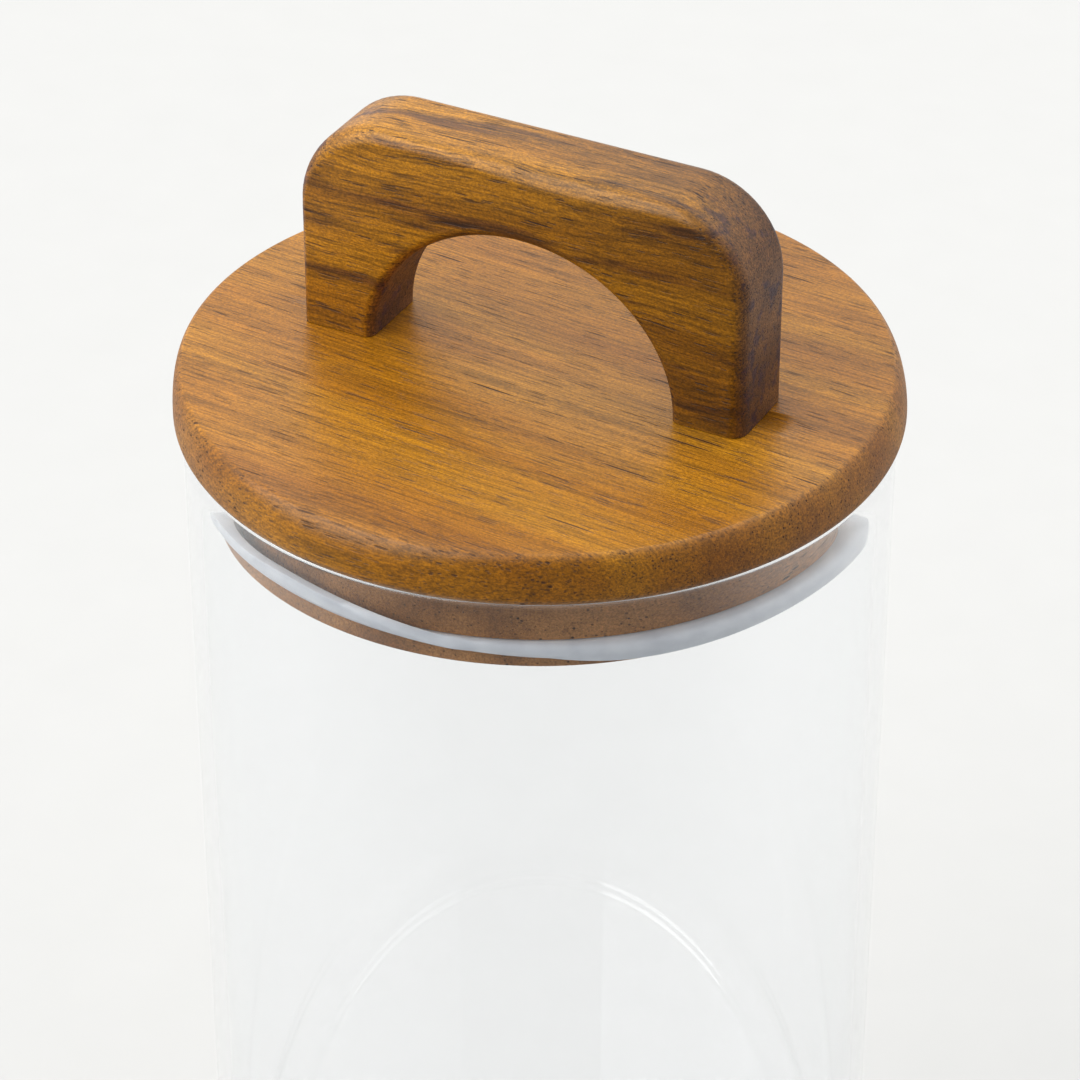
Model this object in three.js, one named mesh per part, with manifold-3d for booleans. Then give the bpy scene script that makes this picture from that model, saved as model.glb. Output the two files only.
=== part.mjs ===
// Food canister: a clear glass jar closed by a wooden lid with a bridge handle.
//
// The lid is a round disc with a smaller plug glued under it. The plug carries a silicone
// sealing ring in a groove, and two countersunk screws come up through plug and disc into
// the feet of the handle. Units are millimetres, +Z is up, and the origin is the centre of
// the jar's base. The handle's length lies along X.

import * as THREE from 'three';
import { mergeVertices } from 'three/addons/utils/BufferGeometryUtils.js';
import Module from 'manifold-3d';

// ---- Driving dimensions ----------------------------------------------------------------

const JAR_HEIGHT = 224;
const JAR_RADIUS = 58.6;
const WALL = 2.4;
const BASE_THICKNESS = 5;
const HEEL_RADIUS = 6;
const PUNT_RADIUS = 47;
const PUNT_SLOPE = 4;
const PUNT_HEIGHT = 0.8;

const LID_RADIUS = 60;
const DISC_THICKNESS = 8.5;
const EDGE_INSET = 2.2;
const EDGE_DROP = 6.9;
const UNDER_EDGE_RADIUS = 1.6;

const PLUG_RADIUS = 53.6;
const PLUG_THICKNESS = 14.5;
const PLUG_CHAMFER = 0.5;
const GROOVE_HEIGHT = 2.6;
const GROOVE_DEPTH = 2.4;
const FLANGE_THICKNESS = 2.6;

const RING_CLEARANCE = 0.1;
const RING_LIP_GAP = 0.15;
const RING_LIP_HEIGHT = 1.6;
const RING_LIP_TAPER = 0.8;

const HANDLE_LENGTH = 80;
const HANDLE_HEIGHT = 38.5;
const HANDLE_THICKNESS = 15.5;
const HANDLE_CORNER = 14.7;
const HANDLE_EDGE = 1.6;
const ARCH_HALF_SPAN = 27.3;
const ARCH_HEIGHT = 25;

const SCREW_LENGTH = 35;
const SCREW_RADIUS = 2;
const SCREW_CORE_RADIUS = 1.4;
const SCREW_HEAD_RADIUS = 4;
const SCREW_PITCH = 1.8;
const SCREW_TIP = 3;
const SHANK_LENGTH = 17;
const THREAD_ROOT_START = 0.4;
const THREAD_ROOT_END = 0.7;
const RECESS_LENGTH = 4.4;
const RECESS_WIDTH = 0.9;
const RECESS_DEPTH = 1.8;
const HOLE_CLEARANCE = 0.3;
const CUT_OVERRUN = 1;

// The lid rests on the rim and its boards are glued, each over a gap this thin.
const SEAT_GAP = 0.1;

const ROUND_SEGMENTS = 72;
const SCREW_SEGMENTS = 16;
const EDGE_STEPS = 6;
const SHOULDER_STEPS = 8;
const ARCH_STEPS = 24;
const BEVEL_STEPS = 3;
const WELD_DISTANCE = 1e-4;

// ---- Heights worked out from them ------------------------------------------------------

const JAR_BORE = JAR_RADIUS - WALL;
const DISC_BOTTOM = JAR_HEIGHT + SEAT_GAP;
const DISC_TOP = DISC_BOTTOM + DISC_THICKNESS;
const PLUG_TOP = DISC_BOTTOM - SEAT_GAP;
const PLUG_BOTTOM = PLUG_TOP - PLUG_THICKNESS;
const GROOVE_BOTTOM = PLUG_BOTTOM + FLANGE_THICKNESS;
const GROOVE_TOP = GROOVE_BOTTOM + GROOVE_HEIGHT;
const HANDLE_BOTTOM = DISC_TOP + SEAT_GAP;
const SCREW_X = (HANDLE_LENGTH / 2 + ARCH_HALF_SPAN) / 2;

// ---- Materials -------------------------------------------------------------------------

const glass = () => new THREE.MeshStandardMaterial({ color: 0xe4ebee, roughness: 0.05, metalness: 0 });
const wood = (color) => new THREE.MeshStandardMaterial({ color, roughness: 0.55, metalness: 0 });
const silicone = () => new THREE.MeshStandardMaterial({ color: 0xd4d6da, roughness: 0.45, metalness: 0 });
const steel = () => new THREE.MeshStandardMaterial({ color: 0xb9bcc0, roughness: 0.3, metalness: 1 });

// ---- Shape helpers ---------------------------------------------------------------------

const manifold = await Module();
manifold.setup();

// A quarter of an ellipse as points, from angle start to angle end in quarter turns.
function arc(centreX, centreY, radiusX, radiusY, start, end, steps) {
  const points = [];
  for (let i = 0; i <= steps; i += 1) {
    const angle = (start + ((end - start) * i) / steps) * (Math.PI / 2);
    points.push(new THREE.Vector2(centreX + radiusX * Math.cos(angle), centreY + radiusY * Math.sin(angle)));
  }
  return points;
}

const point = (x, y) => new THREE.Vector2(x, y);

// Spins an outline of (radius, height) points about the Z axis.
function turned(outline, segments = ROUND_SEGMENTS) {
  return new THREE.LatheGeometry(outline, segments).rotateX(Math.PI / 2);
}

function toSolid(geometry) {
  const bare = geometry.clone();
  bare.deleteAttribute('normal');
  bare.deleteAttribute('uv');
  const merged = mergeVertices(bare, WELD_DISTANCE);
  return new manifold.Manifold(new manifold.Mesh({
    numProp: 3,
    vertProperties: new Float32Array(merged.attributes.position.array),
    triVerts: new Uint32Array(merged.index.array),
  }));
}

function fromSolid(solid) {
  const mesh = solid.getMesh();
  const geometry = new THREE.BufferGeometry();
  geometry.setAttribute('position', new THREE.BufferAttribute(mesh.vertProperties, 3));
  geometry.setIndex(new THREE.BufferAttribute(mesh.triVerts, 1));
  geometry.computeVertexNormals();
  return geometry;
}

function cut(geometry, ...tools) {
  return fromSolid(tools.reduce((body, tool) => body.subtract(toSolid(tool)), toSolid(geometry)));
}

function named(name, geometry, material) {
  const mesh = new THREE.Mesh(geometry, material);
  mesh.name = name;
  return mesh;
}

// ---- Sub-parts -------------------------------------------------------------------------

// Blown cylinder with a shallow punt under the base, a rounded heel and a fire-polished rim.
function jarGeometry() {
  const floor = BASE_THICKNESS;
  const rim = WALL / 2;
  return turned([
    point(0, PUNT_HEIGHT),
    point(PUNT_RADIUS - PUNT_SLOPE, PUNT_HEIGHT),
    point(PUNT_RADIUS, 0),
    ...arc(JAR_RADIUS - HEEL_RADIUS, HEEL_RADIUS, HEEL_RADIUS, HEEL_RADIUS, -1, 0, EDGE_STEPS),
    ...arc(JAR_BORE + rim, JAR_HEIGHT - rim, rim, rim, 0, 2, EDGE_STEPS),
    ...arc(JAR_BORE - HEEL_RADIUS, floor + HEEL_RADIUS, HEEL_RADIUS, HEEL_RADIUS, 0, -1, EDGE_STEPS),
    point(0, floor),
  ]);
}

// Disc whose edge falls in one long curve from the flat top to a small round underneath.
function discGeometry() {
  return turned([
    point(0, DISC_BOTTOM),
    ...arc(LID_RADIUS - UNDER_EDGE_RADIUS, DISC_BOTTOM + UNDER_EDGE_RADIUS,
      UNDER_EDGE_RADIUS, UNDER_EDGE_RADIUS, -1, 0, EDGE_STEPS),
    ...arc(LID_RADIUS - EDGE_INSET, DISC_TOP - EDGE_DROP, EDGE_INSET, EDGE_DROP, 0, 1, EDGE_STEPS),
    point(0, DISC_TOP),
  ]);
}

// Plug that enters the mouth, with the groove for the ring and a flange below it.
function plugGeometry() {
  const grooveFloor = PLUG_RADIUS - GROOVE_DEPTH;
  return turned([
    point(0, PLUG_BOTTOM),
    point(PLUG_RADIUS - PLUG_CHAMFER, PLUG_BOTTOM),
    point(PLUG_RADIUS, PLUG_BOTTOM + PLUG_CHAMFER),
    point(PLUG_RADIUS, GROOVE_BOTTOM),
    point(grooveFloor, GROOVE_BOTTOM),
    point(grooveFloor, GROOVE_TOP),
    point(PLUG_RADIUS, GROOVE_TOP),
    point(PLUG_RADIUS, PLUG_TOP),
    point(0, PLUG_TOP),
  ]);
}

// Ring that sits in the groove and reaches out to the glass with a thinner lip.
function ringGeometry() {
  const inner = PLUG_RADIUS - GROOVE_DEPTH + RING_CLEARANCE;
  const outer = JAR_BORE - RING_LIP_GAP;
  const bottom = GROOVE_BOTTOM + RING_CLEARANCE;
  const top = GROOVE_TOP - RING_CLEARANCE;
  const lipBottom = (bottom + top - RING_LIP_HEIGHT) / 2;
  const lipTop = lipBottom + RING_LIP_HEIGHT;
  return turned([
    point(inner, bottom),
    point(PLUG_RADIUS, bottom),
    point(outer - RING_LIP_TAPER, lipBottom),
    point(outer, lipBottom + RING_LIP_TAPER / 2),
    point(outer, lipTop - RING_LIP_TAPER / 2),
    point(outer - RING_LIP_TAPER, lipTop),
    point(PLUG_RADIUS, top),
    point(inner, top),
    point(inner, bottom),
  ]);
}

// Space that a screw takes up in the wood, from its countersunk mouth at z = 0 upwards.
function screwHole(x) {
  const mouth = SCREW_HEAD_RADIUS + HOLE_CLEARANCE;
  const bore = SCREW_RADIUS + HOLE_CLEARANCE;
  const hole = turned([
    point(0, -CUT_OVERRUN),
    point(mouth + CUT_OVERRUN, -CUT_OVERRUN),
    point(bore, mouth - bore),
    point(bore, SCREW_LENGTH + HOLE_CLEARANCE),
    point(0, SCREW_LENGTH + HOLE_CLEARANCE),
  ], SCREW_SEGMENTS);
  return hole.translate(x, 0, PLUG_BOTTOM);
}

// Countersunk wood screw with its head down, a plain shank and a pointed threaded end.
function screwGeometry(x) {
  const outline = [
    point(0, 0),
    point(SCREW_HEAD_RADIUS, 0),
    point(SCREW_RADIUS, SCREW_HEAD_RADIUS - SCREW_RADIUS),
    point(SCREW_RADIUS, SHANK_LENGTH),
  ];
  const turns = Math.floor((SCREW_LENGTH - SCREW_TIP - SHANK_LENGTH) / SCREW_PITCH);
  for (let turn = 0; turn < turns; turn += 1) {
    const start = SHANK_LENGTH + turn * SCREW_PITCH;
    outline.push(point(SCREW_CORE_RADIUS, start + THREAD_ROOT_START * SCREW_PITCH));
    outline.push(point(SCREW_CORE_RADIUS, start + THREAD_ROOT_END * SCREW_PITCH));
    outline.push(point(SCREW_RADIUS, start + SCREW_PITCH));
  }
  outline.push(point(SCREW_CORE_RADIUS, SCREW_LENGTH - SCREW_TIP));
  outline.push(point(0, SCREW_LENGTH));
  const recess = [0, Math.PI / 2].map((angle) => (
    new THREE.BoxGeometry(RECESS_LENGTH, RECESS_WIDTH, 2 * RECESS_DEPTH).rotateZ(angle)
  ));
  return cut(turned(outline, SCREW_SEGMENTS), ...recess).translate(x, 0, PLUG_BOTTOM);
}

// Bridge with rounded shoulders and an arch for the fingers, its edges rounded all along.
// It is drawn with its feet too long, and then cut off flat where it stands on the disc.
function handleGeometry() {
  const half = HANDLE_LENGTH / 2;
  const spare = 2 * HANDLE_EDGE;
  const shoulder = HANDLE_HEIGHT - HANDLE_CORNER;
  const outline = new THREE.Shape([
    point(half, -spare),
    ...arc(half - HANDLE_CORNER, shoulder, HANDLE_CORNER, HANDLE_CORNER, 0, 1, SHOULDER_STEPS),
    ...arc(HANDLE_CORNER - half, shoulder, HANDLE_CORNER, HANDLE_CORNER, 1, 2, SHOULDER_STEPS),
    point(-half, -spare),
    point(-ARCH_HALF_SPAN, -spare),
    ...arc(0, 0, ARCH_HALF_SPAN, ARCH_HEIGHT, 2, 0, ARCH_STEPS),
    point(ARCH_HALF_SPAN, -spare),
  ]);
  const block = new THREE.ExtrudeGeometry(outline, {
    depth: HANDLE_THICKNESS - 2 * HANDLE_EDGE,
    bevelThickness: HANDLE_EDGE,
    bevelSize: HANDLE_EDGE,
    bevelOffset: -HANDLE_EDGE,
    bevelSegments: BEVEL_STEPS,
  });
  block.translate(0, 0, HANDLE_EDGE - HANDLE_THICKNESS / 2);
  block.rotateX(Math.PI / 2);
  block.translate(0, 0, HANDLE_BOTTOM);
  const below = new THREE.BoxGeometry(2 * HANDLE_LENGTH, 2 * HANDLE_THICKNESS, 2 * HANDLE_HEIGHT);
  below.translate(0, 0, HANDLE_BOTTOM - HANDLE_HEIGHT);
  return cut(block, below, screwHole(-SCREW_X), screwHole(SCREW_X));
}

// ---- Assembly --------------------------------------------------------------------------

const boredThrough = (geometry) => cut(geometry, screwHole(-SCREW_X), screwHole(SCREW_X));

const lid = new THREE.Group();
lid.add(named('lid_disc', boredThrough(discGeometry()), wood(0xc48f4a)));
lid.add(named('lid_plug', boredThrough(plugGeometry()), wood(0x9b7550)));
lid.add(named('lid_handle', handleGeometry(), wood(0xa86f2c)));
lid.add(named('handle_screw_left', screwGeometry(-SCREW_X), steel()));
lid.add(named('handle_screw_right', screwGeometry(SCREW_X), steel()));

const canister = new THREE.Group();
canister.add(named('glass_jar', jarGeometry(), glass()));
canister.add(named('sealing_ring', ringGeometry(), silicone()));
canister.add(lid);

export default canister;
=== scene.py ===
"""Looks of the food canister: glass jar, silicone ring, and a wooden lid with a bridge handle.

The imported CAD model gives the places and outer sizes. Each node is replaced by a finer mesh made
here, with a procedural material. Only the sealing ring's bent lip reaches outside its CAD node.
Lengths are in metres unless a name says otherwise, +Z is up, and the handle lies along X.
"""

import math

import bmesh
import bpy
from mathutils import Matrix, Vector, noise


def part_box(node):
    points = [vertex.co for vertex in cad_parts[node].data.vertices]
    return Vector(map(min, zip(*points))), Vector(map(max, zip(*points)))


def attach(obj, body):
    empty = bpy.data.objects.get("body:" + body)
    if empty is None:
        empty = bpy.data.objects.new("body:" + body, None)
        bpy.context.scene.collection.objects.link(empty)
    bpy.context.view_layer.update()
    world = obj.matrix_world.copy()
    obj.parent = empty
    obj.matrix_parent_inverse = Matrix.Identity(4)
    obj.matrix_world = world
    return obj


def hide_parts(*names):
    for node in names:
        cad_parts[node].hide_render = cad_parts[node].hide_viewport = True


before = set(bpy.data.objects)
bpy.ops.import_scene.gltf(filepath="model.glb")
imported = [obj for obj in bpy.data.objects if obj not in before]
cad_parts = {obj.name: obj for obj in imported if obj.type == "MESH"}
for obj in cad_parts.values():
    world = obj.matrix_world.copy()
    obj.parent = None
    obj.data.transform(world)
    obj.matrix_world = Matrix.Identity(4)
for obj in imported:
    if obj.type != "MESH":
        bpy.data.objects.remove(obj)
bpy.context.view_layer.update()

MM = 0.001

# ---- Sizes, from the frame and a few driving dimensions ---------------------------------

JAR_HIGH = Vector(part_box("glass_jar")[1])
DISC_LOW, DISC_HIGH = (Vector(corner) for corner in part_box("lid_disc"))
PLUG_LOW, PLUG_HIGH = (Vector(corner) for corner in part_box("lid_plug"))
RING_LOW, RING_HIGH = (Vector(corner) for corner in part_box("sealing_ring"))
HANDLE_LOW, HANDLE_HIGH = (Vector(corner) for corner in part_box("lid_handle"))
SCREW_LOW, SCREW_HIGH = (Vector(corner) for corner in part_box("handle_screw_right"))

JAR_RADIUS = JAR_HIGH.x
JAR_WALL = 2.4 * MM
JAR_BORE = JAR_RADIUS - JAR_WALL
JAR_FLOOR = 5 * MM
RIM_FALL = 1.2 * MM
HEEL = 6 * MM
PUNT_RADIUS = 47 * MM
PUNT_SLOPE = 4 * MM
PUNT_HEIGHT = 0.8 * MM
GLASS_WAVE = 0.12 * MM
EVEN_WALL = 0.2 * MM
EVEN_RIM = 4 * MM

DISC_RADIUS = DISC_HIGH.x
EDGE_INSET = 2.2 * MM
EDGE_DROP = 6.9 * MM
UNDER_EDGE = 1.6 * MM
SANDED_LOPSIDED = 0.55 * MM
SANDED_WAVE = 0.35 * MM

PLUG_RADIUS = PLUG_HIGH.x
GROOVE_DEPTH = 2.4 * MM
GROOVE_HEIGHT = 2.1 * MM
FLANGE = 3.1 * MM
PLUG_EDGE = 0.5 * MM

# The ring's lip: where its centre line runs when it stands, lies level or is folded down, each
# point as (mm in from the CAD ring's outside, mm above its middle). Then how thick the lip is in
# each case, and which share of that it has at each point.
LIP_STANDING = ((2.45, 0.40), (1.85, 0.75), (1.35, 1.45), (0.95, 2.30), (0.70, 3.30), (0.55, 4.40))
LIP_LEVEL = ((2.35, 0.28), (1.85, 0.34), (1.45, 0.50), (1.20, 0.60), (1.05, 0.65), (0.95, 0.68))
LIP_FOLDED = ((2.45, 0.35), (1.80, 0.35), (1.35, 0.05), (1.15, -0.50), (1.05, -1.20), (1.00, -2.00))
LIP_STANDING_THICKNESS = 1.4 * MM
LIP_LEVEL_THICKNESS = 2.4 * MM
LIP_FOLDED_THICKNESS = 2.1 * MM
LIP_TAPER = (0.78, 0.95, 0.95, 0.90, 0.80, 0.66)
RING_UNDERCUT = 0.6 * MM
RING_INNER_GAP = 0.1 * MM
RING_ROOT_GAP = 0.05 * MM

HANDLE_HALF = HANDLE_HIGH.x
HANDLE_DEPTH = HANDLE_HIGH.y - HANDLE_LOW.y
SHOULDER_RADIUS = 14.7 * MM
ARCH_HALF_SPAN = 27.3 * MM
ARCH_HEIGHT = 25 * MM
ARCH_EDGE = 1.9 * MM
BACK_EDGE = 2 * MM
# The radius of the front edge: on the left leg, how much more on the right one, and on the top.
# LEG_SHARE is the share of the handle's height up to which the edge is as on the legs.
LEFT_EDGE = 1.1 * MM
RIGHT_EDGE_MORE = 1.5 * MM
TOP_EDGE = 3.0 * MM
TOP_EDGE_WAVE = 0.7 * MM
LEG_SHARE = 0.6

SCREW_X = (SCREW_LOW.x + SCREW_HIGH.x) / 2
SCREW_HEAD_RADIUS = (SCREW_HIGH.x - SCREW_LOW.x) / 2
SCREW_RADIUS = 2 * MM
SCREW_CORE = 1.4 * MM
SCREW_PITCH = 1.8 * MM
SCREW_SHANK = 17 * MM
SCREW_TIP = 3 * MM
THREAD_HALF_WIDTH = 0.22 * SCREW_PITCH
HEAD_BEVEL = 0.1 * MM
RECESS_LENGTH = 4.4 * MM
RECESS_WIDTH = 0.9 * MM
RECESS_DEPTH = 1.8 * MM
RECESS_TAPER = 0.45
HOLE_CLEARANCE = 0.3 * MM

ROUND_STEPS = 256
AT_AXIS = 1e-7
WELD = 0.004 * MM

# The camera looks down at the lid from the front, with the handle's right end nearer to it.
VIEW_TURN = math.radians(28.0)
VIEW_PITCH = math.radians(33.45)
VIEW_AWAY = (-math.sin(VIEW_TURN), math.cos(VIEW_TURN), 0)
VIEW_DISTANCE = 0.7174
VIEW_LENS_MM = 142.8
VIEW_SENSOR_MM = 36
FLOOR_RADIUS = 6.0
AIM_BELOW_TOP = 35.45 * MM


# ---- Mesh helpers ----------------------------------------------------------------------

def arc(centre, radii, start, end, steps):
    """Points of an elliptical arc. Angles are in degrees, from the first axis."""
    points = []
    for i in range(steps + 1):
        angle = math.radians(start + (end - start) * i / steps)
        points.append((centre[0] + radii[0] * math.cos(angle), centre[1] + radii[1] * math.sin(angle)))
    return points


def straight(start, end, steps):
    """Evenly spaced points from start towards end, without the end itself."""
    return [(start[0] + (end[0] - start[0]) * i / steps, start[1] + (end[1] - start[1]) * i / steps)
            for i in range(steps)]


def smooth_share(value, low, high):
    """Smooth step from 0 at low to 1 at high."""
    share = min(1.0, max(0.0, (value - low) / (high - low)))
    return share * share * (3 - 2 * share)


def object_from(mesh_data, name):
    """Turns a bmesh into a linked object with outward normals."""
    bmesh.ops.recalc_face_normals(mesh_data, faces=mesh_data.faces)
    mesh = bpy.data.meshes.new(name)
    mesh_data.to_mesh(mesh)
    mesh_data.free()
    piece = bpy.data.objects.new(name, mesh)
    bpy.context.scene.collection.objects.link(piece)
    return piece


def shade(piece, sharp_degrees):
    """Smooth shading that keeps edges sharper than the angle."""
    piece.data.polygons.foreach_set("use_smooth", [True] * len(piece.data.polygons))
    piece.data.set_sharp_from_angle(angle=math.radians(sharp_degrees))


def revolve(name, profile, closed=False, steps=ROUND_STEPS, sharp_degrees=40):
    """Spins an outline about Z. profile(angle) gives its (radius, height) points at that angle."""
    mesh_data = bmesh.new()
    profiles = [profile(2 * math.pi * i / steps) for i in range(steps)]
    rings = []
    for row in zip(*profiles):
        if row[0][0] < AT_AXIS:
            rings.append([mesh_data.verts.new((0, 0, row[0][1]))])
            continue
        ring = []
        for i, (radius, height) in enumerate(row):
            angle = 2 * math.pi * i / steps
            ring.append(mesh_data.verts.new((radius * math.cos(angle), radius * math.sin(angle), height)))
        rings.append(ring)
    pairs = list(zip(rings, rings[1:]))
    if closed:
        pairs.append((rings[-1], rings[0]))
    for low, high in pairs:
        for i in range(steps):
            j = (i + 1) % steps
            corners = [low[i % len(low)], low[j % len(low)], high[j % len(high)], high[i % len(high)]]
            mesh_data.faces.new(list(dict.fromkeys(corners)))
    piece = object_from(mesh_data, name)
    shade(piece, sharp_degrees)
    return piece


def cut(piece, *cutters):
    """Cuts the cutters out of the piece for good, deletes them, and closes what slivers are left."""
    for cutter in cutters:
        modifier = piece.modifiers.new("cut", "BOOLEAN")
        modifier.operation = "DIFFERENCE"
        modifier.solver = "EXACT"
        modifier.object = cutter
    bpy.context.view_layer.update()
    graph = bpy.context.evaluated_depsgraph_get()
    mesh = bpy.data.meshes.new_from_object(piece.evaluated_get(graph))
    piece.modifiers.clear()
    welded = bmesh.new()
    welded.from_mesh(mesh)
    bmesh.ops.remove_doubles(welded, verts=welded.verts, dist=WELD)
    bmesh.ops.dissolve_degenerate(welded, edges=welded.edges, dist=WELD)
    bmesh.ops.holes_fill(welded, edges=welded.edges, sides=4)
    welded.to_mesh(mesh)
    welded.free()
    piece.data = mesh
    mesh.name = piece.name
    for cutter in cutters:
        bpy.data.objects.remove(cutter)


def drill_for_screws(piece):
    cut(piece, screw_hole(-SCREW_X), screw_hole(SCREW_X))


# ---- Pieces ----------------------------------------------------------------------------

def waved(angle, radius, height):
    """Moves a point of the jar inwards by a little, unless it is on the outer wall or the rim."""
    if radius > JAR_RADIUS - EVEN_WALL or height > JAR_HIGH.z - EVEN_RIM:
        return radius, height
    swells_round, swells_up = 1.3, 9
    spot = Vector((math.cos(angle) * swells_round, math.sin(angle) * swells_round, height * swells_up))
    return radius - GLASS_WAVE * (0.5 + 0.5 * noise.noise(spot)), height


def make_jar():
    """Blown glass: the outer wall and the rim are even, the inside and the foot wave slightly."""
    rim = JAR_WALL / 2
    outer_top = JAR_HIGH.z - RIM_FALL
    inner_top = JAR_HIGH.z - rim
    inner_low = JAR_FLOOR + HEEL
    punt_flat = PUNT_RADIUS - PUNT_SLOPE
    side_rows, slope_rows = 40, 8
    outline = straight((0, PUNT_HEIGHT), (punt_flat, PUNT_HEIGHT), 5) + [(punt_flat, PUNT_HEIGHT)]
    for i in range(1, slope_rows + 1):
        fall = smooth_share(i, 0, slope_rows)
        outline.append((PUNT_RADIUS - PUNT_SLOPE * (1 - i / slope_rows), PUNT_HEIGHT * (1 - fall)))
    outline += arc((JAR_RADIUS - HEEL, HEEL), (HEEL, HEEL), -90, 0, 14)
    outline += straight((JAR_RADIUS, HEEL), (JAR_RADIUS, outer_top), side_rows)[1:]
    outline += arc((JAR_BORE + rim, outer_top), (rim, RIM_FALL), 0, 90, 12)
    outline += arc((JAR_BORE + rim, inner_top), (rim, rim), 90, 180, 8)[1:]
    outline += straight((JAR_BORE, inner_top), (JAR_BORE, inner_low), side_rows)[1:]
    outline += arc((JAR_BORE - HEEL, inner_low), (HEEL, HEEL), 0, -90, 14)
    outline += straight((JAR_BORE - HEEL, JAR_FLOOR), (0, JAR_FLOOR), 6)[1:]
    outline += [(0, JAR_FLOOR)]
    return revolve("jar", lambda angle: [waved(angle, *point) for point in outline])


def hand_sanded(angle, radius, height):
    """Moves a point of the disc's upper edge to where uneven sanding has left it."""
    depth = (DISC_HIGH.z - height) / EDGE_DROP
    if radius < DISC_RADIUS * 0.9 or depth > 1:
        return radius, height
    more = SANDED_LOPSIDED * math.cos(angle + math.radians(40)) + SANDED_WAVE * math.sin(3 * angle + 1.1)
    return min(DISC_RADIUS, radius - more * (1 - depth) ** 1.5), height


def make_disc():
    """Lid disc. Its edge was rounded by hand, so the flat top isn't quite a circle."""
    lower_round = (DISC_RADIUS - UNDER_EDGE, DISC_LOW.z + UNDER_EDGE)
    upper_round = (DISC_RADIUS - EDGE_INSET, DISC_HIGH.z - EDGE_DROP)
    outline = [(0, DISC_LOW.z), (DISC_RADIUS * 0.5, DISC_LOW.z)]
    outline += arc(lower_round, (UNDER_EDGE, UNDER_EDGE), -90, 0, 10)
    outline += arc(upper_round, (EDGE_INSET, EDGE_DROP), 0, 90, 24)[1:]
    outline += [(DISC_RADIUS * share, DISC_HIGH.z) for share in (0.93, 0.8, 0.5, 0.2, 0)]
    disc = revolve("disc", lambda angle: [hand_sanded(angle, *point) for point in outline])
    drill_for_screws(disc)
    return disc


def make_plug():
    """Plug under the disc, with a groove for the ring and a flange below the groove."""
    floor = PLUG_RADIUS - GROOVE_DEPTH
    groove_low = PLUG_LOW.z + FLANGE
    groove_high = groove_low + GROOVE_HEIGHT
    outline = [(0, PLUG_LOW.z), (PLUG_RADIUS * 0.5, PLUG_LOW.z)]
    outline += arc((PLUG_RADIUS - PLUG_EDGE, PLUG_LOW.z + PLUG_EDGE), (PLUG_EDGE, PLUG_EDGE), -90, 0, 6)
    outline += [(PLUG_RADIUS, groove_low), (floor, groove_low)]
    outline += [(floor, groove_high), (PLUG_RADIUS, groove_high)]
    outline += [(PLUG_RADIUS, PLUG_HIGH.z), (0, PLUG_HIGH.z)]
    plug = revolve("plug", lambda angle: outline)
    drill_for_screws(plug)
    return plug


def lip_outline(steps, thickness):
    """Points round a lip that thins towards its end, from under its root to over it."""
    middle = (RING_LOW.z + RING_HIGH.z) / 2
    centre_line = [(RING_HIGH.x - inset * MM, middle + rise * MM) for inset, rise in steps]
    below, above = [], []
    last = len(centre_line) - 1
    for i, (radius, height) in enumerate(centre_line):
        before, after = centre_line[max(i - 1, 0)], centre_line[min(i + 1, last)]
        run, climb = after[0] - before[0], after[1] - before[1]
        length = math.hypot(run, climb)
        half = thickness / 2 * LIP_TAPER[i]
        below.append((radius + climb / length * half, height - run / length * half))
        above.append((radius - climb / length * half, height + run / length * half))
    return below + above[::-1]


def fold_at(angle):
    """How the lip lies at one angle: 0 is standing, 0.5 level and 1 folded down."""
    seen_angle = angle - VIEW_TURN
    fold = smooth_share(math.cos(seen_angle + math.radians(10)), -0.6, 0.45)
    fold += 0.02 * math.sin(7 * angle)
    kink_angle, kink_width = math.radians(144), 0.06
    kink = math.sin((seen_angle + kink_angle) / 2) / kink_width
    fold += 0.06 * math.exp(-kink * kink)
    return fold - 0.6 * smooth_share(math.cos(seen_angle + math.radians(2)), 0.92, 1.0)


def make_ring():
    """Sealing ring. On one side of the lid its soft lip is bent up, on the other it is folded down."""
    inner = PLUG_RADIUS - GROOVE_DEPTH + RING_INNER_GAP
    root = PLUG_RADIUS + RING_ROOT_GAP
    under = RING_LOW.z + RING_UNDERCUT
    back = [(root, RING_HIGH.z), (inner, RING_HIGH.z), (inner, under), (root, under)]
    standing = lip_outline(LIP_STANDING, LIP_STANDING_THICKNESS)
    level = lip_outline(LIP_LEVEL, LIP_LEVEL_THICKNESS)
    folded = lip_outline(LIP_FOLDED, LIP_FOLDED_THICKNESS)

    def profile(angle):
        fold = fold_at(angle)
        start, end, share = (standing, level, 2 * fold) if fold < 0.5 else (level, folded, 2 * fold - 1)
        lip = [(a[0] + (b[0] - a[0]) * share, a[1] + (b[1] - a[1]) * share) for a, b in zip(start, end)]
        return lip + back

    return revolve("ring", profile, closed=True, sharp_degrees=60)


def front_edge_radius(x, z):
    """Radius of the handle's rounded edge on its front face, which was sanded unevenly."""
    along = x / HANDLE_HALF
    height_share = (z - HANDLE_LOW.z) / (HANDLE_HIGH.z - HANDLE_LOW.z)
    rise = min(1.0, max(0.0, height_share - LEG_SHARE) / (1 - LEG_SHARE))
    side = LEFT_EDGE + RIGHT_EDGE_MORE * (0.5 + 0.5 * math.tanh(4 * along))
    top = TOP_EDGE + TOP_EDGE_WAVE * math.sin(5.5 * along + 0.6)
    return side + (top - side) * rise


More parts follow.
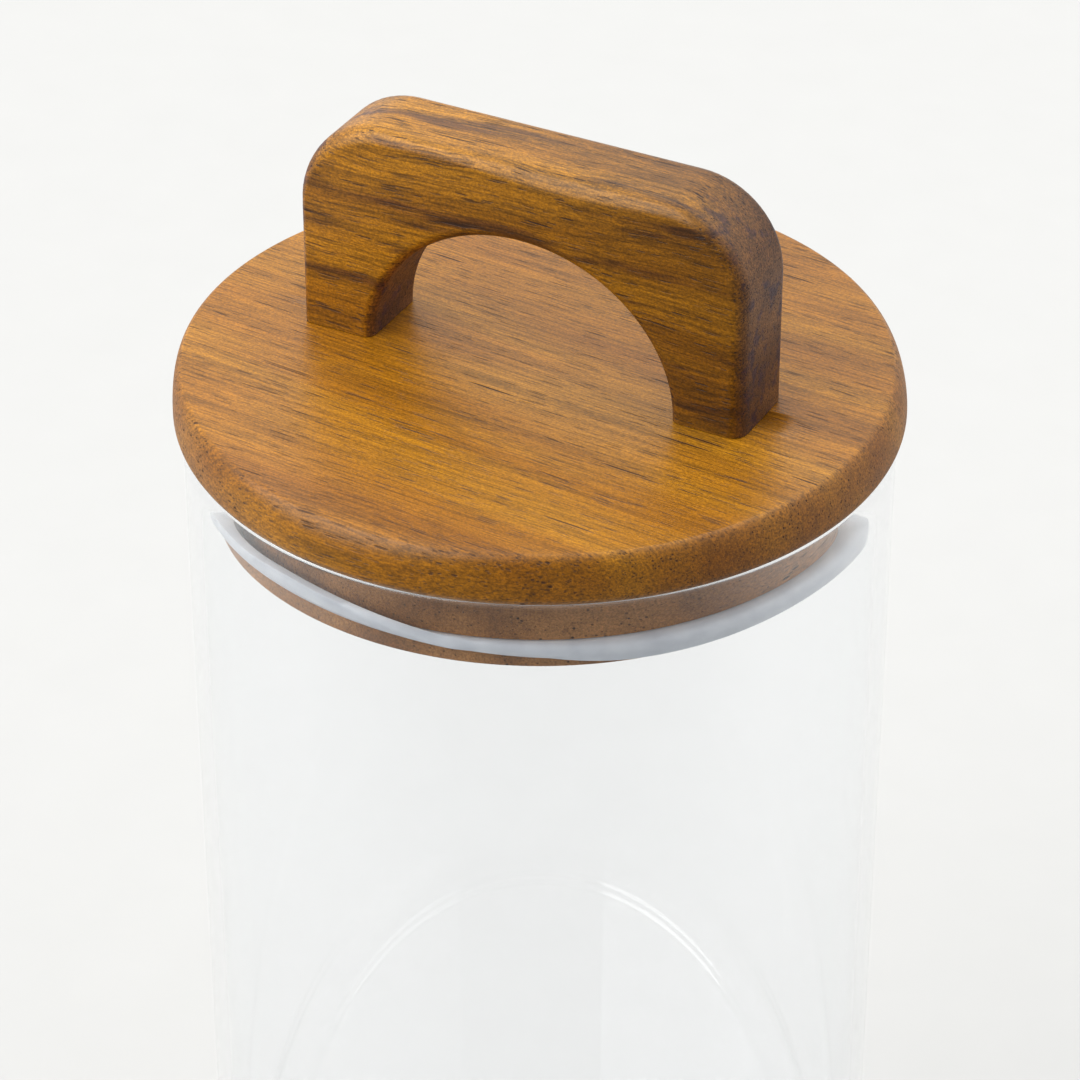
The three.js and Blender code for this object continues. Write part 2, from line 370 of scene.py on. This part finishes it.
def handle_outside():
    """Outside of the handle from its right foot to its left one, as (point, outward normal)."""
    base, top = HANDLE_LOW.z, HANDLE_HIGH.z
    shoulder_x, shoulder_z = HANDLE_HALF - SHOULDER_RADIUS, top - SHOULDER_RADIUS
    side_steps, top_steps, round_steps = 10, 24, 16

    def side(start, end, steps, normal):
        return [(point, normal) for point in straight(start, end, steps)]

    def shoulder(x, start):
        points = arc((x, shoulder_z), (SHOULDER_RADIUS, SHOULDER_RADIUS), start, start + 90, round_steps)
        normals = arc((0, 0), (1, 1), start, start + 90, round_steps)
        return list(zip(points, normals))[:-1]

    outside = side((HANDLE_HALF, base), (HANDLE_HALF, shoulder_z), side_steps, (1, 0))
    outside += shoulder(shoulder_x, 0)
    outside += side((shoulder_x, top), (-shoulder_x, top), top_steps, (0, 1))
    outside += shoulder(-shoulder_x, 90)
    outside += side((-HANDLE_HALF, shoulder_z), (-HANDLE_HALF, base), side_steps, (-1, 0))
    return outside + [((-HANDLE_HALF, base), (-1, 0))]


def handle_arch():
    """Arch of the handle from left to right, as (point, normal out of the wood)."""
    steps = 56
    points = arc((0, HANDLE_LOW.z), (ARCH_HALF_SPAN, ARCH_HEIGHT), 180, 0, steps)
    normals = arc((0, 0), (ARCH_HEIGHT, ARCH_HALF_SPAN), 180, 0, steps)
    lengths = [math.hypot(x, z) for x, z in normals]
    return [(point, (-x / length, -z / length)) for point, (x, z), length in zip(points, normals, lengths)]


def handle_section(point, normal, front):
    """Points across the handle at one place of its outline, from front to back, with round edges."""
    half = HANDLE_DEPTH / 2
    back = BACK_EDGE
    row = arc((front, front - half), (-front, -front), 90, 0, 10)
    row += arc((back, half - back), (-back, back), 0, 90, 10)
    return [(point[0] - normal[0] * inset, y, max(HANDLE_LOW.z, point[1] - normal[1] * inset))
            for inset, y in row]


def make_handle():
    """Bridge handle: an outline swept through its thickness with rounded edges."""
    mesh_data = bmesh.new()

    def strip(sections):
        rows = [[mesh_data.verts.new(spot) for spot in section] for section in sections]
        for near, far in zip(rows, rows[1:]):
            for i in range(len(near) - 1):
                mesh_data.faces.new((near[i], near[i + 1], far[i + 1], far[i])).smooth = True
        return rows

    outside = strip(handle_section(point, normal, front_edge_radius(*point))
                    for point, normal in handle_outside())
    arch = strip(handle_section(point, normal, ARCH_EDGE)
                 for point, normal in handle_arch())
    for side in (0, -1):
        mesh_data.faces.new([row[side] for row in outside + arch])
    mesh_data.faces.new(outside[-1] + arch[0][::-1])
    mesh_data.faces.new(outside[0] + arch[-1][::-1])
    handle = object_from(mesh_data, "handle")
    drill_for_screws(handle)
    handle.data.set_sharp_from_angle(angle=math.radians(50))
    return handle


def screw_hole(x):
    """Cutter for the countersunk hole that a screw stands in."""
    base = SCREW_LOW.z
    mouth = SCREW_HEAD_RADIUS + HOLE_CLEARANCE
    bore = SCREW_RADIUS + HOLE_CLEARANCE
    top = SCREW_HIGH.z + HOLE_CLEARANCE
    over = 1 * MM
    outline = [(0, base - over), (mouth + over, base - over), (bore, base + mouth - bore)]
    outline += [(bore, top), (0, top)]
    cutter = revolve("screw_hole", lambda angle: outline, steps=48)
    cutter.data.transform(Matrix.Translation((x, 0, 0)))
    return cutter


def recess_slot(quarter):
    """Cutter for one of the two crossed slots in a screw's head. It narrows inwards."""
    slot = bmesh.new()
    bmesh.ops.create_cube(slot, size=1)
    # Half of the cutter stands out of the head. The second slot is a little deeper, so that the
    # two cutters don't end on one plane.
    depth = 2 * RECESS_DEPTH + 0.1 * MM * quarter
    for corner in slot.verts:
        taper = 1 if corner.co.z < 0 else RECESS_TAPER
        length, width = RECESS_LENGTH * taper, RECESS_WIDTH * taper
        corner.co = (corner.co.x * length, corner.co.y * width, corner.co.z * depth)
    cutter = object_from(slot, "slot")
    turn = Matrix.Rotation(quarter * math.pi / 2, 4, "Z")
    cutter.data.transform(Matrix.Translation((0, 0, SCREW_LOW.z)) @ turn)
    return cutter


def make_screw(name, x):
    """Countersunk wood screw with a cross recess, a plain shank and a helical thread."""
    base, top = SCREW_LOW.z, SCREW_HIGH.z
    cone = SCREW_HEAD_RADIUS - SCREW_RADIUS
    thread_start, thread_end = base + SCREW_SHANK, top - SCREW_TIP
    rows_per_turn, tip_rows = 12, 6
    rows = round((thread_end - thread_start) / SCREW_PITCH * rows_per_turn)

    def thread(angle, radius, height):
        if height <= thread_start or radius == 0:
            return radius, height
        phase = ((height - thread_start) / SCREW_PITCH - angle / (2 * math.pi)) % 1
        ridge = max(0.0, 1 - abs(phase - 0.5) * SCREW_PITCH / THREAD_HALF_WIDTH)
        fade = min(1.0, (top - height) / SCREW_TIP, (height - thread_start) / SCREW_PITCH)
        core = SCREW_CORE * min(1.0, (top - height) / SCREW_TIP + 0.02)
        return core + (SCREW_RADIUS - SCREW_CORE) * ridge * fade, height

    outline = [(0, base), (SCREW_HEAD_RADIUS - HEAD_BEVEL, base), (SCREW_HEAD_RADIUS, base + HEAD_BEVEL)]
    outline += [(SCREW_RADIUS, base + cone), (SCREW_RADIUS, thread_start)]
    outline += straight((SCREW_CORE, thread_start), (SCREW_CORE, thread_end), rows)[1:]
    outline += straight((SCREW_CORE, thread_end), (0, top), tip_rows) + [(0, top)]
    screw = revolve(name, lambda angle: [thread(angle, *point) for point in outline], steps=32)
    cut(screw, recess_slot(0), recess_slot(1))
    screw.data.set_sharp_from_angle(angle=math.radians(40))
    screw.data.transform(Matrix.Translation((x, 0, 0)))
    return screw


# ---- Material helpers ------------------------------------------------------------------

def new_material(name):
    material = bpy.data.materials.new(name)
    material.use_nodes = True
    tree = material.node_tree
    shader = tree.nodes["Principled BSDF"]
    return material, tree, shader


def feed(tree, node, inputs):
    """Sets or links a node's inputs by name or number."""
    for key, value in inputs.items():
        if isinstance(value, bpy.types.NodeSocket):
            tree.links.new(value, node.inputs[key])
        else:
            node.inputs[key].default_value = value


def add(tree, kind, inputs, **settings):
    """Adds a node with its settings and inputs."""
    made = tree.nodes.new(kind)
    for key, value in settings.items():
        setattr(made, key, value)
    feed(tree, made, inputs)
    return made


def own_space(tree):
    """Place on the object, in metres."""
    return add(tree, "ShaderNodeTexCoord", {}).outputs["Object"]


def maths(tree, operation, a, b):
    return add(tree, "ShaderNodeMath", {0: a, 1: b}, operation=operation).outputs[0]


def vector_maths(tree, operation, a, b):
    return add(tree, "ShaderNodeVectorMath", {0: a, 1: b}, operation=operation).outputs["Vector"]


def dot(tree, a, b):
    return add(tree, "ShaderNodeVectorMath", {0: a, 1: b}, operation="DOT_PRODUCT").outputs["Value"]


def scaled(tree, vector, x, y, z):
    return vector_maths(tree, "MULTIPLY", vector, (x, y, z))


def map_range(tree, value, low, high, to_low, to_high, **settings):
    """Turns low..high into to_low..to_high."""
    made = add(tree, "ShaderNodeMapRange", {"Value": value, "From Min": low, "From Max": high,
                                            "To Min": to_low, "To Max": to_high}, **settings)
    return made.outputs["Result"]


def remap(tree, value, low, high, to_low=0.0, to_high=1.0):
    """Smooth step from low..high to to_low..to_high, clamped."""
    return map_range(tree, value, low, high, to_low, to_high, interpolation_type="SMOOTHSTEP")


def shaded_by(tree, colour, value, low, high, darkest, lightest):
    """Scales a colour by a value, so that low..high becomes darkest..lightest."""
    factor = remap(tree, value, low, high, darkest, lightest)
    return add(tree, "ShaderNodeVectorMath", {0: colour, "Scale": factor}, operation="SCALE").outputs[0]


def opaque(colour):
    return (*colour, 1)


def ramp(tree, value, stops):
    """Colour ramp. stops is a list of (position, (r, g, b))."""
    made = add(tree, "ShaderNodeValToRGB", {"Fac": value})
    elements = made.color_ramp.elements
    while len(elements) < len(stops):
        elements.new(0.5)
    for element, (position, colour) in zip(elements, stops):
        element.position = position
        element.color = opaque(colour)
    return made.outputs["Color"]


def mix(tree, factor, a, b, blend="MIX"):
    """Mixes two colours."""
    made = add(tree, "ShaderNodeMix", {0: factor, 6: a, 7: b}, data_type="RGBA", blend_type=blend)
    return made.outputs[2]


def noise_of(tree, vector, detail, roughness, output="Fac"):
    made = add(tree, "ShaderNodeTexNoise", {"Vector": vector, "Scale": 1.0, "Detail": detail,
                                            "Roughness": roughness})
    return made.outputs[output]


def bumps(tree, height, strength, distance):
    """Normal of a surface with small bumps. distance is how high they are, in metres."""
    made = add(tree, "ShaderNodeBump", {"Height": height, "Strength": strength, "Distance": distance})
    return made.outputs["Normal"]


# ---- Wood ------------------------------------------------------------------------------

def bent_grain(tree, grain, wave_mm):
    """Bends straight grain in long waves, with smaller ones on top."""
    for along, across, reach in ((0.024, 0.045, wave_mm), (0.13, 0.10, wave_mm * 0.16)):
        bend = noise_of(tree, scaled(tree, grain, along, across, across), 1.0, 0.4, "Color")
        bend = vector_maths(tree, "SUBTRACT", bend, (0.5, 0.5, 0.5))
        grain = vector_maths(tree, "ADD", grain, scaled(tree, bend, 0, reach, reach))
    return grain


def streaks(tree, grain, along, across, thinnest, widest, share):
    """Long thin pores, from cells stretched along the grain. share of the cells hold none."""
    stretched = scaled(tree, grain, along, across, across)
    cells = add(tree, "ShaderNodeTexVoronoi", {"Vector": stretched, "Scale": 1.0})
    luck = add(tree, "ShaderNodeSeparateColor", {"Color": cells.outputs["Color"]}).outputs[0]
    width = map_range(tree, luck, share, 1.0, thinnest, widest, clamp=False)
    width = maths(tree, "MAXIMUM", width, 0.001)
    reach = maths(tree, "DIVIDE", cells.outputs["Distance"], width)
    return remap(tree, reach, 1.1, 0.7)


def pores_of(tree, grain, bands, contrast):
    """Long, short and fine pores, weaker where the bands are light."""
    pores = streaks(tree, grain, 0.030, 0.80, 0.08, 0.19, 0.15)
    short_pores = streaks(tree, grain, 0.075, 1.15, 0.10, 0.24, 0.10)
    pores = maths(tree, "MAXIMUM", pores, maths(tree, "MULTIPLY", short_pores, 0.8))
    fine_pores = streaks(tree, grain, 0.16, 2.1, 0.16, 0.34, 0.20)
    pores = maths(tree, "MAXIMUM", pores, maths(tree, "MULTIPLY", fine_pores, 0.5 * contrast))
    return maths(tree, "MULTIPLY", pores, remap(tree, bands, 0.60, 0.42, 0.55, 1.0))


def wood(name, tones, figure_tone, pore_tone, end_tint_and_sheen, seed, wave_mm, tilt_degrees, figured,
         contrast=1.0, painted_shade_drift=0.0):
    """Solid wood with its grain along X, or tilt_degrees clockwise from X as seen from above.

    tones is three colours from dark to light, wave_mm how far the grain's long waves reach,
    figured how much of the wood the dark figure takes, end_tint_and_sheen what the end grain's colour
    is multiplied by (darker end grain; on the handle its blue is also raised, a painted greyish sheen),
    and painted_shade_drift how much darker the wood is painted in 40 mm from the middle towards +X,
    a painted shade on the side away from the left lamp. The grain's own coordinates are in mm.
    """
    material, tree, shader = new_material(name)
    tilt = math.radians(tilt_degrees)
    spot = add(tree, "ShaderNodeTexCoord", {})
    turned = add(tree, "ShaderNodeMapping", {"Vector": spot.outputs["Object"], "Location": seed,
                                             "Rotation": (0, 0, tilt), "Scale": (1 / MM, 1 / MM, 1 / MM)})
    grain = bent_grain(tree, turned.outputs["Vector"], wave_mm)

    def layer(along, across, detail, roughness):
        return noise_of(tree, scaled(tree, grain, along, across, across), detail, roughness)

    # Broad changes of tone, with a dark figure in places.
    broad = layer(0.012, 0.085, 2.0, 0.5)
    colour = ramp(tree, broad, [(0.32, tones[0]), (0.50, tones[1]), (0.68, tones[2])])
    figure = remap(tree, layer(0.02, 0.30, 4.0, 0.65), 0.70 - 0.25 * figured, 0.86 - 0.25 * figured)
    colour = mix(tree, maths(tree, "MULTIPLY", figure, 0.8), colour, opaque(figure_tone))

    # Finer and finer shades along the grain, and a painted shade that darkens the wood towards +X.
    bands = layer(0.012, 0.55, 3.0, 0.6)
    lines = layer(0.055, 2.4, 3.0, 0.75)
    speck = layer(2.0, 3.2, 2.0, 0.7)
    colour = shaded_by(tree, colour, bands, 0.32, 0.68, 1 - 0.10 * contrast, 1 + 0.08 * contrast)
    colour = shaded_by(tree, colour, lines, 0.32, 0.64, 1 - 0.30 * contrast, 1 + 0.15 * contrast)
    colour = shaded_by(tree, colour, speck, 0.32, 0.68, 1 - 0.20 * contrast, 1 + 0.17 * contrast)
    along = add(tree, "ShaderNodeSeparateXYZ", {0: spot.outputs["Object"]}).outputs[0]
    colour = shaded_by(tree, colour, along, -40 * MM, 40 * MM, 1 + painted_shade_drift, 1 - painted_shade_drift)

    pores = pores_of(tree, grain, bands, contrast)
    colour = mix(tree, maths(tree, "MULTIPLY", pores, 0.96), colour, opaque(pore_tone))

    # End grain is where the surface faces along the grain. Its colour is darker there; on the handle its
    # blue is also raised, a painted greyish sheen.
    facing = dot(tree, spot.outputs["Normal"], (math.cos(tilt), -math.sin(tilt), 0))
    end = remap(tree, maths(tree, "ABSOLUTE", facing, 0.0), 0.2, 0.95)
    colour = mix(tree, end, colour, mix(tree, 1.0, colour, opaque(end_tint_and_sheen), "MULTIPLY"))

    # Rougher in pores and on end grain.
    rough = remap(tree, lines, 0.3, 0.7, 0.38, 0.30)
    rough = maths(tree, "ADD", rough, maths(tree, "MULTIPLY", pores, 0.25))
    rough = maths(tree, "ADD", rough, maths(tree, "MULTIPLY", end, 0.22))
    height = maths(tree, "SUBTRACT", maths(tree, "MULTIPLY", speck, 0.5), pores)
    feed(tree, shader, {"Base Color": colour, "Roughness": rough, "Specular IOR Level": 0.37,
                        "Normal": bumps(tree, height, 0.6, 0.08 * MM)})
    return material


# ---- Other materials -------------------------------------------------------------------

def clear_glass():
    """Clear glass. Light from lamps and between dull surfaces goes straight through it, and so
    does light reflected more than twice, which would otherwise be caught inside the wall."""
    material, tree, shader = new_material("clear_glass")
    ripple = noise_of(tree, scaled(tree, own_space(tree), 14, 14, 6), 1.0, 0.4)
    feed(tree, shader, {"Base Color": (0.986, 0.992, 1.0, 1), "Transmission Weight": 1.0, "Roughness": 0.0,
                        "IOR": 1.5, "Normal": bumps(tree, ripple, 0.2, 0.15 * MM)})
    path = add(tree, "ShaderNodeLightPath", {}).outputs
    trapped = maths(tree, "GREATER_THAN", path["Glossy Depth"], 2.5)
    unbent = maths(tree, "MAXIMUM", path["Is Shadow Ray"], path["Is Diffuse Ray"])
    unbent = maths(tree, "MAXIMUM", unbent, trapped)
    clear = add(tree, "ShaderNodeBsdfTransparent", {"Color": (0.94, 0.945, 0.95, 1)})
    both = add(tree, "ShaderNodeMixShader", {0: unbent, 1: shader.outputs[0], 2: clear.outputs[0]})
    feed(tree, tree.nodes["Material Output"], {"Surface": both.outputs[0]})
    return material


def milky_silicone():
    """Cloudy, slightly see-through rubber with a fine dull grain."""
    material, tree, shader = new_material("milky_silicone")
    spot = own_space(tree)
    cloud = noise_of(tree, scaled(tree, spot, 180, 180, 400), 3.0, 0.5)
    colour = ramp(tree, cloud, [(0.3, (0.54, 0.57, 0.62)), (0.7, (0.67, 0.70, 0.74))])
    grain = noise_of(tree, scaled(tree, spot, 2500, 2500, 2500), 2.0, 0.5)
    feed(tree, shader, {"Base Color": colour,
                        "Roughness": remap(tree, grain, 0.3, 0.7, 0.34, 0.46),
                        "Normal": bumps(tree, grain, 0.15, 0.03 * MM),
                        "Subsurface Weight": 0.6,
                        "Subsurface Radius": (1, 1, 1),
                        "Subsurface Scale": 1.2 * MM})
    return material


def brushed_steel():
    """Steel with fine marks round the screw."""
    material, tree, shader = new_material("screw_steel")
    brush = noise_of(tree, scaled(tree, own_space(tree), 900, 900, 9000), 3.0, 0.6)
    colour = ramp(tree, brush, [(0.3, (0.52, 0.52, 0.53)), (0.7, (0.66, 0.66, 0.67))])
    feed(tree, shader, {"Base Color": colour,
                        "Roughness": remap(tree, brush, 0.3, 0.7, 0.24, 0.38),
                        "Metallic": 1.0})
    return material


# ---- Assembly --------------------------------------------------------------------------

def place(piece, material, node, body):
    piece.data.materials.clear()
    piece.data.materials.append(material)
    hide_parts(node)
    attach(piece, body)


disc_wood = wood(
    "disc_wood",
    tones=((0.240, 0.086, 0.003), (0.295, 0.114, 0.004), (0.350, 0.147, 0.006)),
    figure_tone=(0.17, 0.060, 0.006),
    pore_tone=(0.034, 0.010, 0.001),
    end_tint_and_sheen=(0.80, 0.74, 0.6),
    seed=(31.0, 12.0, 5.0),
    wave_mm=1.6,
    tilt_degrees=4.0,
    figured=0.15,
    contrast=1.35,
    # Painted shade: the disc darkens towards +X, away from the left lamp.
    painted_shade_drift=0.06,
)
plug_wood = wood(
    "plug_wood",
    tones=((0.27, 0.110, 0.030), (0.38, 0.165, 0.046), (0.50, 0.230, 0.070)),
    figure_tone=(0.20, 0.080, 0.022),
    pore_tone=(0.035, 0.013, 0.005),
    end_tint_and_sheen=(0.8, 0.8, 0.8),
    seed=(-80.0, 44.0, 9.0),
    wave_mm=1.6,
    tilt_degrees=94.0,
    figured=0.3,
)
handle_wood = wood(
    "handle_wood",
    tones=((0.150, 0.054, 0.002), (0.222, 0.085, 0.003), (0.325, 0.135, 0.005)),
    figure_tone=(0.055, 0.018, 0.007),
    pore_tone=(0.018, 0.006, 0.003),
    # End grain darker, with its blue raised as a painted greyish sheen.
    end_tint_and_sheen=(0.64, 0.62, 4.0),
    seed=(140.0, -25.0, 60.0),
    wave_mm=4.5,
    tilt_degrees=0.0,
    figured=0.85,
    contrast=1.6,
    # Painted shade: the handle darkens towards its right end.
    painted_shade_drift=0.24,
)
glass = clear_glass()
silicone = milky_silicone()
steel = brushed_steel()

place(make_jar(), glass, "glass_jar", "jar")
place(make_ring(), silicone, "sealing_ring", "seal")
place(make_disc(), disc_wood, "lid_disc", "lid")
place(make_plug(), plug_wood, "lid_plug", "lid")
place(make_handle(), handle_wood, "lid_handle", "lid")
place(make_screw("screw_left", -SCREW_X), steel, "handle_screw_left", "lid")
place(make_screw("screw_right", SCREW_X), steel, "handle_screw_right", "lid")


# ---- Stage, light and camera -----------------------------------------------------------

def make_floor():
    """Pale paper with painted shade: its colour darkens in front of the object, towards the camera."""
    material, tree, shader = new_material("floor_paper")
    spot = own_space(tree)
    mottle = noise_of(tree, scaled(tree, spot, 60, 60, 60), 3.0, 0.5)
    pale = ramp(tree, mottle, [(0.2, (0.500, 0.500, 0.492)), (0.8, (0.510, 0.510, 0.502))])
    # Painted shade: the paper's colour falls to about a third towards the camera.
    shaded = shaded_by(tree, pale, dot(tree, spot, VIEW_AWAY), -0.36, -0.05, 0.32, 1.0)
    feed(tree, shader, {"Base Color": shaded, "Roughness": 0.9, "Specular IOR Level": 0.0})
    mesh_data = bmesh.new()
    bmesh.ops.create_circle(mesh_data, cap_ends=True, radius=FLOOR_RADIUS, segments=96)
    floor = object_from(mesh_data, "floor")
    floor.data.materials.append(material)


def soft_light(name, azimuth, elevation, spread_degrees, strength):
    """Large even light from far away. Angles are in degrees, azimuth from the view's right."""
    light = bpy.data.lights.new(name, "SUN")
    light.angle = math.radians(spread_degrees)
    light.energy = strength
    lamp = bpy.data.objects.new(name, light)
    turn, rise = math.radians(azimuth) + VIEW_TURN, math.radians(elevation)
    direction = Vector((math.cos(rise) * math.cos(turn), math.cos(rise) * math.sin(turn), math.sin(rise)))
    lamp.rotation_euler = direction.to_track_quat("Z", "Y").to_euler()
    bpy.context.scene.collection.objects.link(lamp)


def make_world(front, back, top):
    """Pale room: a dim side behind the camera, a bright one behind the object, and a bright ceiling."""
    world = bpy.data.worlds.new("studio")
    world.use_nodes = True
    tree = world.node_tree
    direction = add(tree, "ShaderNodeTexCoord", {}).outputs["Generated"]
    rise = add(tree, "ShaderNodeSeparateXYZ", {0: direction}).outputs[2]
    walls = remap(tree, dot(tree, direction, VIEW_AWAY), -0.5, 0.6, front, back)
    ceiling = remap(tree, rise, 0.35, 0.95, 0.0, top)
    feed(tree, tree.nodes["Background"], {"Color": (1, 1, 0.995, 1),
                                          "Strength": maths(tree, "ADD", walls, ceiling)})
    bpy.context.scene.world = world


def make_camera():
    data = bpy.data.cameras.new("camera")
    data.lens = VIEW_LENS_MM
    data.sensor_width = VIEW_SENSOR_MM
    camera = bpy.data.objects.new("camera", data)
    level = Vector((math.sin(VIEW_TURN), -math.cos(VIEW_TURN), 0))
    away = level * math.cos(VIEW_PITCH) + Vector((0, 0, math.sin(VIEW_PITCH)))
    camera.location = Vector((0, 0, DISC_HIGH.z - AIM_BELOW_TOP)) + away * VIEW_DISTANCE
    camera.rotation_euler = away.to_track_quat("Z", "Y").to_euler()
    bpy.context.scene.collection.objects.link(camera)
    bpy.context.scene.camera = camera


make_floor()
make_world(front=0.08, back=1.13, top=0.95)
soft_light("left_light", azimuth=204, elevation=36, spread_degrees=66, strength=2.8)
soft_light("right_light", azimuth=-8, elevation=36, spread_degrees=80, strength=1.15)
make_camera()
bpy.context.scene.view_settings.view_transform = "Standard"
